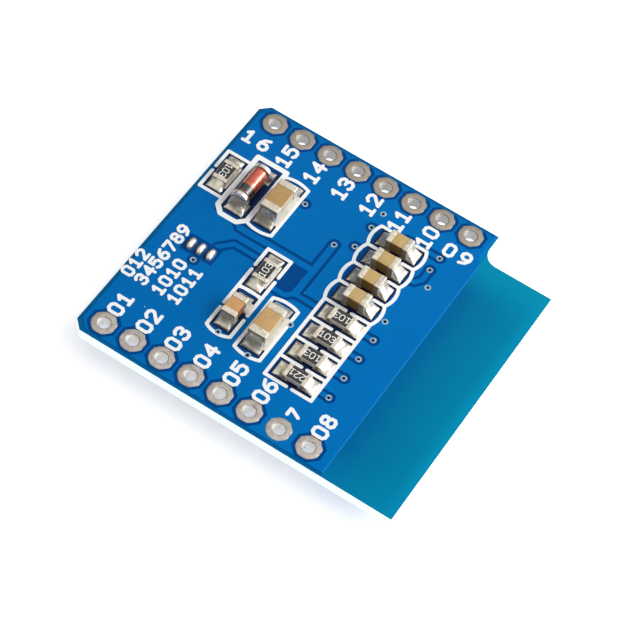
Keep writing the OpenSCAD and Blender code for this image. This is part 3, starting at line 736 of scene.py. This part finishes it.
# %% All pin lands
one = pin_land()
one_land = bpy.data.meshes.new("one_land")
one.to_mesh(one_land)
one.free()
for row in pins:
    bm = bmesh.new()
    for place in pins[row]:
        before = set(bm.verts)
        bm.from_mesh(one_land)
        fresh = [v for v in bm.verts if v not in before]
        bmesh.ops.translate(bm, vec=place, verts=fresh)
    piece(f"{row}_plated_lands", bm, "tinned_copper", f"{row}_pin_lands", angle=50)

# %% [markdown]
# ## Solder
# Melted solder pulls itself into a hollow fillet between the land and the metal end, higher in
# the middle than at the sides, and it freezes with dents and ridges. A grid is laid over the
# toe of the land, its points are lifted to that hollow surface, and gentle noise roughens it.
# The rim is then drawn down to the land, so that every joint is a closed lump.

# %% One solder joint
def drawn_down(bm, lifted):
    """Draws the rim of a lifted grid down to zero height, closes the underside, and gives all
    the points."""
    rim = list(dict.fromkeys(e for v in lifted for e in v.link_edges if e.is_boundary))
    skirt = bmesh.ops.extrude_edge_only(bm, edges=rim)["geom"]
    lowered = [g for g in skirt if isinstance(g, bmesh.types.BMVert)]
    for v in lowered:
        v.co.z = 0.0
    bmesh.ops.holes_fill(bm, edges=[g for g in skirt if isinstance(g, bmesh.types.BMEdge)])
    return lifted + lowered


def solder_joint(bm, part, side, toe, climb, seed, ridge, lump, hollow, lip=0.09):
    """A fillet at one end of a chip: side is -1 or 1, toe how far it runs out on the land, and
    climb how high it stands against the metal. The ridge is a crease from chip to toe, the lump
    how uneven the surface is in mm, and the lip the height of the outer rim in mm. The more
    hollow a joint is, the less solder it has."""
    made = bmesh.ops.create_grid(bm, x_segments=16, y_segments=18, size=0.5)["verts"]
    sunk = 0.03 * MM  # into the metal end, so that no gap shows
    half = part["width"] / 2 + 0.03 * MM
    thinnest = 0.03 * MM
    corner = 0.12 * MM
    lip *= MM
    lean = 0.5 * noise.noise(Vector((seed * 1.7, 4.2, 0.5)))
    for v in made:
        out, across = v.co.x + 0.5, 2 * v.co.y
        reach = out * (toe + sunk)
        # the outer corners of the lump are rounded in plan
        past = max(0.0, reach - (toe + sunk - corner)) / corner
        wide = half - corner * (1 - math.sqrt(max(0.0, 1 - past * past)))
        crease = 1 - ridge * min(1.0, abs(across - lean * out) * 1.3) ** 0.8
        crown = 1 - 0.3 * abs(across) ** 3
        rise = (climb - lip) * (1 - out) ** hollow * crown
        height = lip + rise * (1 + (crease - 1) * min(1, 3 * out))
        wave = noise.noise(Vector((out * 1.5, across * 1.1, seed * 7.3)))
        fold = 0.3 - abs(noise.noise(Vector((out * 1.8, across * 0.9, seed * 3.7 + 40))))
        height += lump * MM * (1.6 * wave + 1.2 * fold) * math.sin(math.pi * min(1.0, out * 0.9))
        # it falls away towards both sides and at the tip
        edge = max(0.0, abs(across) - 0.65) / 0.35
        height *= 1 - 0.6 * edge * edge
        tip = max(0.0, out - 0.88) / 0.12
        height *= 1 - 0.5 * tip * tip
        v.co = Vector((reach - sunk, across * wide, max(thinnest, height)))
    closed = drawn_down(bm, made)
    turn = part["turn"] + (0 if side > 0 else math.pi)
    end = Matrix.Translation((part["length"] / 2, 0, 0))
    set_down = Matrix.Translation((part["centre"].x, part["centre"].y, foil_top))
    bmesh.ops.transform(bm, matrix=set_down @ Matrix.Rotation(turn, 4, "Z") @ end, verts=closed)


def lumps(name, bm, *replaced, finish="solder"):
    """Makes one piece of closed lumps, with their faces turned outwards."""
    bmesh.ops.recalc_face_normals(bm, faces=bm.faces)
    piece(name, bm, "solder", *replaced, angle=60, finish=finish)


# %% All solder joints
small_toe, large_toe, longest_toe = 0.74 * MM, 0.75 * MM, 0.95 * MM
bm = bmesh.new()
for index, part in enumerate(resistors):
    climb = 0.92 * part["height"]
    for side in (-1, 1):
        solder_joint(bm, part, side, small_toe, climb, 2 * index + side, 0.4, 0.06, 1.5)
lumps("resistor_joints", bm, "resistor_solder")

bm = bmesh.new()
for index, part in enumerate(capacitors):
    large = part["length"] > 2.5 * MM
    climb = 0.86 * part["height"]
    for side, toe in ((-1, large_toe), (1, longest_toe)):
        toe = toe if large else small_toe
        solder_joint(bm, part, side, toe, climb, 2 * index + side + 30, 0.2, 0.06, 1.3)
lumps("capacitor_joints", bm, "capacitor_solder")

# %% [markdown]
# Paste that was squeezed out beside the longer chips has left a pale crust of flux along their
# right sides. It is a low fillet as well, so the same function makes it, with the chip's side
# standing in for its end.

# %% Flux beside the chips
tree, shader = finish_material("flux_crust", Roughness=0.45)
cloudy = use_group(tree, mottle, Patch=0.5, Contrast=1.0, Seed=67.0)
feed(
    tree, shader,
    Base_Color=blend(tree, cloudy["Mask"], srgb(184, 176, 158), srgb(222, 216, 204)),
)
bumps(tree, shader, cloudy["Height"], 0.6, 0.03)
bm = bmesh.new()
# how far each crust reaches out and rises, how much longer it is than its chip, and how far it
# lies to the rear of it, in mm
for index, (part, reach, rise, extra, shift) in enumerate((
    (resistors[0], 0.16, 0.3, 0.3, 0.0), (resistors[1], 0.16, 0.3, 0.3, 0.0),
    (capacitors[4], 0.24, 0.5, 0.3, 0.0), (capacitors[5], 0.24, 0.5, 0.3, 0.0),
    (capacitors[6], 0.34, 0.4, -1.0, 0.8),
)):
    flank = dict(
        part, length=part["width"], width=part["length"] + extra * MM, turn=0.0,
        centre=part["centre"] + Vector((0, shift * MM, 0)),
    )
    solder_joint(bm, flank, 1, reach * MM, rise * MM, 80 + index, 0.0, 0.02, 1.6, 0.03)
lumps("flux_crusts", bm, finish="flux_crust")

# %% [markdown]
# ## The glass diode
# It is a cylinder of clear glass melted round two copper-red studs, with a silver cap on each
# end. All its parts are turned shapes, so each is a half section spun round the axis. The
# clear sleeve works as a lens and fills with the colour of the studs, and that is why the
# studs carry the colour and the glass almost none.

# %% Diode sizes and turning
sleeve_low, sleeve_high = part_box("diode_glass_sleeve")
sleeve_half = (sleeve_high.y - sleeve_low.y) / 2
sleeve_radius = (sleeve_high.x - sleeve_low.x) / 2
cap_radius = diode["width"] / 2
cap_end = diode["length"] / 2
stud_radius = 0.46 * MM
print("diode caps:", round(2 * cap_radius / MM, 2), "mm across")


def turned(bm, section, steps=40):
    """Spins a half section of (along, radius) points round the diode's axis."""
    line = [bm.verts.new((0, along, radius)) for along, radius in section]
    edges = [bm.edges.new(pair) for pair in zip(line, line[1:])]
    bmesh.ops.spin(
        bm, geom=line + edges, axis=(0, 1, 0), cent=(0, 0, 0), angle=2 * math.pi, steps=steps,
        use_merge=True,
    )


def onto_diode(bm):
    """Merges the poles, turns the faces outwards and moves the parts to the diode's place."""
    bmesh.ops.remove_doubles(bm, verts=bm.verts, dist=1e-7)
    bmesh.ops.recalc_face_normals(bm, faces=bm.faces)
    bmesh.ops.translate(bm, vec=diode["centre"], verts=bm.verts)
    return bm


# %% Diode caps
bm = bmesh.new()
round_off, dimple = 0.07 * MM, 0.02 * MM
for side in (-1, 1):
    inner, outer = side * sleeve_half, side * cap_end
    section = [(inner, 0.0)]
    section += [
        (inner + side * round_off * (1 - cosine), cap_radius - round_off * (1 - sine))
        for sine, cosine in quarter()
    ]
    section += [
        (outer - side * round_off * (1 - sine), cap_radius - round_off * (1 - cosine))
        for sine, cosine in quarter()
    ]
    section += [(outer, 0.35 * cap_radius), (outer - side * dimple, 0.0)]
    turned(bm, section)
piece("diode_caps", onto_diode(bm), "diode_metal", "diode_end_caps", angle=45)

# %% [markdown]
# The studs and the sleeve come next. The studs press on a thin wafer in the middle, and the
# glass is fused to them. So the glass starts just inside their surface, with no air between,
# and it magnifies them to its full width. At both ends the molten glass has drawn in a little.

# %% Wafer and studs
tree, shader = finish_material("stud_red", Metallic=0.6, Roughness=0.35)
cloudy = use_group(tree, mottle, Patch=0.5, Contrast=1.0, Seed=71.0)
feed(
    tree, shader,
    Base_Color=blend(tree, cloudy["Mask"], srgb(226, 74, 20), srgb(250, 124, 58)),
)


def rod(bm, start, stop):
    """A solid rod of the studs' radius, from start to stop along the diode."""
    turned(bm, [(start, 0.0), (start, stud_radius), (stop, stud_radius), (stop, 0.0)])


wafer_half = 0.02 * MM
stud_end = sleeve_half + 0.01 * MM  # just inside the cap
bm = bmesh.new()
rod(bm, -wafer_half, wafer_half)
piece("diode_wafer", onto_diode(bm), "silicon", "diode_die", angle=40)
bm = bmesh.new()
for side in (-1, 1):
    rod(bm, side * wafer_half, side * stud_end)
piece("diode_studs", onto_diode(bm), "diode_metal", angle=40, finish="stud_red")

# %% Glass sleeve
bm = bmesh.new()
bore = stud_radius - 0.02 * MM  # fused: no gap, so the glass magnifies the studs
end = sleeve_half - 0.015 * MM
drawn_in = 0.12 * MM
section = [(-end, bore), (-end, sleeve_radius - drawn_in)]
section += [(-end + 0.05 * MM, sleeve_radius - 0.04 * MM), (-end + drawn_in, sleeve_radius)]
section.append((-end + 0.16 * MM, sleeve_radius))  # keeps the long wall straight to the eye
section += [(-along, radius) for along, radius in reversed(section)]
section.append(section[0])
turned(bm, section, 64)
piece("diode_sleeve", onto_diode(bm), "diode_glass", "diode_glass_sleeve", angle=30)

# %% Diode joints
bm = bmesh.new()
for side in (-1, 1):
    solder_joint(bm, diode, side, large_toe, 0.62 * diode["height"], 60 + side, 0.25, 0.08, 1.25)
lumps("diode_joints", bm, "diode_solder")

# %% [markdown]
# ## Solder bridge
# Three small pads stand side by side, each under a pillow of solder. A grid lifted to a round
# cushion gives the pillow its steep rim and nearly flat top.

# %% Bridge pillows
tree, shader, colour = metal(
    "bridge_solder", srgb(250, 248, 240), srgb(206, 198, 184), (0.2, 0.36), 0.4, 73.0, 1.1,
    0.009, 0.9,
)
# painted shade: the sides that look left are painted a darker copper brown
left_shade_paint = towards(tree, "X", -0.2, -0.5)
feed(tree, shader, Base_Color=blend(tree, left_shade_paint, colour, srgb(142, 84, 62)))
bridge_low, bridge_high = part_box("bridge_pads")
pad_width, pad_count = 0.62 * MM, 3
pitch = (bridge_high.x - bridge_low.x - pad_width) / (pad_count - 1)
length = bridge_high.y - bridge_low.y
rise = 1.7 * (bridge_high.z - board_top)  # heaped solder
bm = bmesh.new()
for index in range(pad_count):
    made = bmesh.ops.create_grid(bm, x_segments=10, y_segments=16, size=0.5)["verts"]
    middle = Vector((
        bridge_low.x + pad_width / 2 + index * pitch, (bridge_low.y + bridge_high.y) / 2, board_top
    ))
    for v in made:
        across, along = 2 * v.co.x, 2 * v.co.y
        cushion = math.sqrt(max(0.0, 1 - abs(across) ** 2.1))
        cushion *= math.sqrt(max(0.0, 1 - abs(along) ** 2.3))
        dent = noise.noise(Vector((across * 0.9, along * 1.2, index * 5.1 + 2)))
        squeeze = 1 - 0.3 * abs(along) ** 3
        v.co = Vector((
            across * pad_width / 2 * squeeze, along * length / 2 * (1 - 0.12 * across * across),
            rise * min(1.0, 0.12 + 0.88 * cushion * (0.92 + 0.08 * dent)),
        ))
    bmesh.ops.translate(bm, vec=middle, verts=drawn_down(bm, made))
lumps("bridge_pillows", bm, "bridge_pads", finish="bridge_solder")

# %% [markdown]
# ## Printed numbers
# Board printing is drawn by a pen of one width, so a number is a few straight strokes with
# round ends. Each digit is given as pen paths on a cell one unit high. Every stroke becomes a
# flat capsule: a disc whose one half is moved to the other end of the stroke. The numbers are
# plain counting numbers and stand where a board has the names of its pins.

# %% Pen paths
PEN_PATHS = {
    "0": [[(0, .17), (0, .83), (.17, 1), (.45, 1), (.62, .83), (.62, .17), (.45, 0), (.17, 0),
           (0, .17)]],
    "1": [[(.08, .78), (.33, 1), (.33, 0)], [(.08, 0), (.58, 0)]],
    "2": [[(0, .83), (.17, 1), (.45, 1), (.62, .83), (.62, .64), (0, 0), (.62, 0)]],
    "3": [[(0, .86), (.15, 1), (.45, 1), (.62, .84), (.62, .68), (.45, .53), (.24, .53)],
          [(.45, .53), (.62, .38), (.62, .17), (.45, 0), (.15, 0), (0, .14)]],
    "4": [[(.5, 0), (.5, 1), (0, .34), (.66, .34)]],
    "5": [[(.6, 1), (.04, 1), (.02, .56), (.2, .63), (.44, .63), (.62, .46), (.62, .17), (.45, 0),
           (.16, 0), (0, .13)]],
    "6": [[(.56, 1), (.2, .84), (0, .52), (0, .17), (.17, 0), (.45, 0), (.62, .17), (.62, .4),
           (.45, .57), (.17, .57), (0, .42)]],
    "7": [[(0, 1), (.62, 1), (.62, .86), (.2, 0)]],
    "8": [[(.18, .54), (.04, .67), (.04, .86), (.18, 1), (.44, 1), (.58, .86), (.58, .67),
           (.44, .54), (.18, .54), (0, .38), (0, .16), (.17, 0), (.45, 0), (.62, .16), (.62, .38),
           (.44, .54)]],
    "9": [[(.06, 0), (.42, .16), (.62, .48), (.62, .83), (.45, 1), (.17, 1), (0, .83), (0, .6),
           (.17, .43), (.45, .43), (.62, .58)]],
}


def pen_stroke(bm, start, stop, width, thickness, lift):
    """A flat capsule from start to stop."""
    disc = bmesh.ops.create_circle(bm, cap_ends=True, radius=width / 2, segments=14)["verts"]
    run = stop - start
    along = run.normalized() if run.length else Vector((1, 0))
    for v in disc:
        end = stop if v.co.xy.dot(along) > 0 else start
        v.co = Vector((v.co.x + end.x, v.co.y + end.y, lift))
    face = disc[0].link_faces[0]
    raised = bmesh.ops.extrude_face_region(bm, geom=[face])["geom"]
    for v in (g for g in raised if isinstance(g, bmesh.types.BMVert)):
        v.co.z += thickness


def write_number(bm, number, centre, height, width, turn, base, thickness, spacing=0.14):
    """Writes a number of this overall height round a centre, turned from reading along +X, with
    this spacing between its digits in mm."""
    pen = height - width  # the path of the pen is narrower than what it leaves
    wide = 1.06 * pen
    step = 0.62 * wide + width + spacing * MM
    before = set(bm.verts)
    for index, digit in enumerate(number):
        shift = (index - (len(number) - 1) / 2) * step - 0.31 * wide
        strokes = [pair for path in PEN_PATHS[digit] for pair in zip(path, path[1:])]
        for order, stroke in enumerate(strokes):
            start, stop = (
                Vector((along * wide + shift, (up - 0.5) * pen)) for along, up in stroke
            )
            lift = order * 0.00005 * MM  # a hair, so that no two strokes share a face
            pen_stroke(bm, start, stop, width, thickness, lift)
    fresh = [v for v in bm.verts if v not in before]
    set_down = Matrix.Translation((centre[0], centre[1], base))
    bmesh.ops.transform(bm, matrix=set_down @ Matrix.Rotation(turn, 4, "Z"), verts=fresh)


# %% Pin numbers
pin_number, small_number, pen_width = 1.34 * MM, 1.1 * MM, 0.28 * MM
ink_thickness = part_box("printed_outlines")[1].z - foil_top
upward = math.pi / 2  # reads towards +Y
bm = bmesh.new()
for index, place in enumerate(pins["front"]):
    number, size, dx, dy = f"{index + 1:02d}", pin_number, 0.02, 2.03
    if index == 6:  # there is room for one small digit
        number, size, dx, dy = "7", small_number, 0.2, 1.65
    centre = (place.x + dx * MM, place.y + dy * MM)
    write_number(bm, number, centre, size, pen_width, upward, foil_top, ink_thickness)
# the rear row counts on from right to left, and its outermost numbers lie level
level_ones = {0: (-0.26, -2.23, 0.0, 0.4), 7: (0.08, -2.13, 0.0, 0.4)}
for index, place in enumerate(pins["rear"]):
    dx, dy, turn, spacing = level_ones.get(index, (-0.07, -2.15, upward, 0.14))
    centre = (place.x + dx * MM, place.y + dy * MM)
    write_number(
        bm, f"{16 - index:02d}", centre, pin_number, pen_width, turn, foil_top, ink_thickness,
        spacing,
    )

# %% Four columns of numbers beside the solder bridge
column_number, column_pen = 1.12 * MM, 0.25 * MM
for number, dx, dy in (
    ("012", 0.59, 7.23), ("3456789", 1.83, 9.05), ("1010", 3.33, 7.65), ("1011", 4.71, 7.65),
):
    centre = (board_low.x + dx * MM, board_low.y + dy * MM)
    write_number(
        bm, number, centre, column_number, column_pen, upward, foil_top, ink_thickness, 0.1
    )
piece("printed_numbers", bm, "white_ink", angle=30)

# %% [markdown]
# ## Numbers on the resistors
# A chip resistor carries three small digits in thin white glaze. They are plain round values.

# %% Resistor digits
digit, digit_pen, glaze, sunk = 0.59 * MM, 0.07 * MM, 0.004 * MM, 0.001 * MM
bm = bmesh.new()
turns = (-upward, upward, math.pi, 0.0, math.pi, math.pi)
for part, turn, number in zip(resistors, turns, ["103"] * 5 + ["221"]):
    write_number(
        bm, number, part["centre"], digit, digit_pen, turn, part["top"] - sunk, glaze, 0.055
    )
piece("resistor_digits", bm, "white_ink", angle=30)

# %% [markdown]
# ## Floor, light and camera
# The module lies on a plain white floor, and the camera sees floor and sky as white, while the
# floor still takes the module's soft shadow. The room is brightest overhead and towards the rear
# right, as beside a large window, and dim low down on the other side. Metal needs that contrast
# to look like metal. Two soft lamps on the window's side draw the highlights.

# %% Floor
floor_size, floor_gap = 0.6, 0.01 * MM
bpy.ops.mesh.primitive_plane_add(size=floor_size, location=(0, 0, -floor_gap))
floor = bpy.context.object
floor.name = "floor"
white = (1, 1, 1, 1)
tree, shader = finish_material(
    "floor_white", Base_Color=(0.92, 0.92, 0.92, 1), Roughness=0.9, Specular_IOR_Level=0.0,
    Emission_Color=white,
)
seen = ramp(tree, add(tree, "LightPath").outputs["Is Camera Ray"], 0, 1, 0.4, 0.55)
feed(tree, shader, Emission_Strength=seen)
floor.data.materials.append(materials["floor_white"])
floor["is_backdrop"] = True
print("floor:", floor_size, "m wide")

# %% Room
world = bpy.data.worlds.new("studio")
bpy.context.scene.world = world
world.use_nodes = True
tree = world.node_tree
background = tree.nodes["Background"]
window_side = Vector((0.7, 0.5, 0.5)).normalized()
direction = add(tree, "TexCoord").outputs["Generated"]
toward = add(
    tree, "VectorMath", {0: direction, 1: window_side}, operation="DOT_PRODUCT"
).outputs["Value"]
ceiling = ramp(tree, parts_of(tree, direction)["Z"], 0.1, 0.85, 0.08, 0.92)
window = ramp(tree, toward, 0.5, 0.92, 0.0, 1.3)
room = math_node(tree, "MAXIMUM", ceiling, window)
rays = add(tree, "LightPath").outputs
shiny = math_node(tree, "MAXIMUM", rays["Is Glossy Ray"], rays["Is Transmission Ray"])
room = math_node(tree, "MULTIPLY", room, ramp(tree, shiny, 0, 1, 0.6, 1.0))
feed(tree, background, Strength=math_node(tree, "MAXIMUM", room, rays["Is Camera Ray"]))
background.inputs["Color"].default_value = white
print("the window is towards", [round(c, 2) for c in window_side])


# %% Lamps
def soft_lamp(name, azimuth, elevation, distance, width, height, power):
    """A lamp panel that looks at the module; azimuth is measured from +X towards +Y."""
    lamp = bpy.data.lights.new(name, "AREA")
    lamp.shape = "RECTANGLE"
    lamp.size, lamp.size_y = width, height
    lamp.energy = power
    holder = bpy.data.objects.new(name, lamp)
    bpy.context.scene.collection.objects.link(holder)
    turn, tilt = math.radians(azimuth), math.radians(elevation)
    toward = Vector((
        math.cos(tilt) * math.cos(turn), math.cos(tilt) * math.sin(turn), math.sin(tilt)
    ))
    holder.location = toward * distance
    holder.rotation_euler = toward.to_track_quat("Z", "Y").to_euler()
    print("lamp", name, "at", [round(c, 3) for c in holder.location])


soft_lamp("key", 42, 42, 0.34, 0.07, 0.26, 0.52)
soft_lamp("side", 8, 22, 0.34, 0.24, 0.24, 0.6)

# %% Camera
aim = Vector((-0.10, -1.48, 2.75)) * MM
azimuth, elevation, roll = math.radians(24.11), math.radians(56.07), math.radians(10.25)
distance = 178.2 * MM
level = math.cos(elevation)
offset = Vector((level * math.sin(azimuth), -level * math.cos(azimuth), math.sin(elevation)))
camera_data = bpy.data.cameras.new("camera")
camera_data.lens = 139.12
camera_data.sensor_width = 36.0
camera_data.clip_start = 0.005
camera = bpy.data.objects.new("camera", camera_data)
bpy.context.scene.collection.objects.link(camera)
camera.matrix_world = (
    Matrix.Translation(aim + offset * distance)
    @ offset.to_track_quat("Z", "Y").to_matrix().to_4x4()
    @ Matrix.Rotation(roll, 4, "Z")
)
bpy.context.scene.camera = camera
bpy.context.scene.view_settings.view_transform = "Standard"
print("camera at", [round(c, 3) for c in camera.matrix_world.translation])

# %% Sizes and the end
low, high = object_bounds()
print("dressed size in mm:", [round(x / MM, 3) for x in high - low])
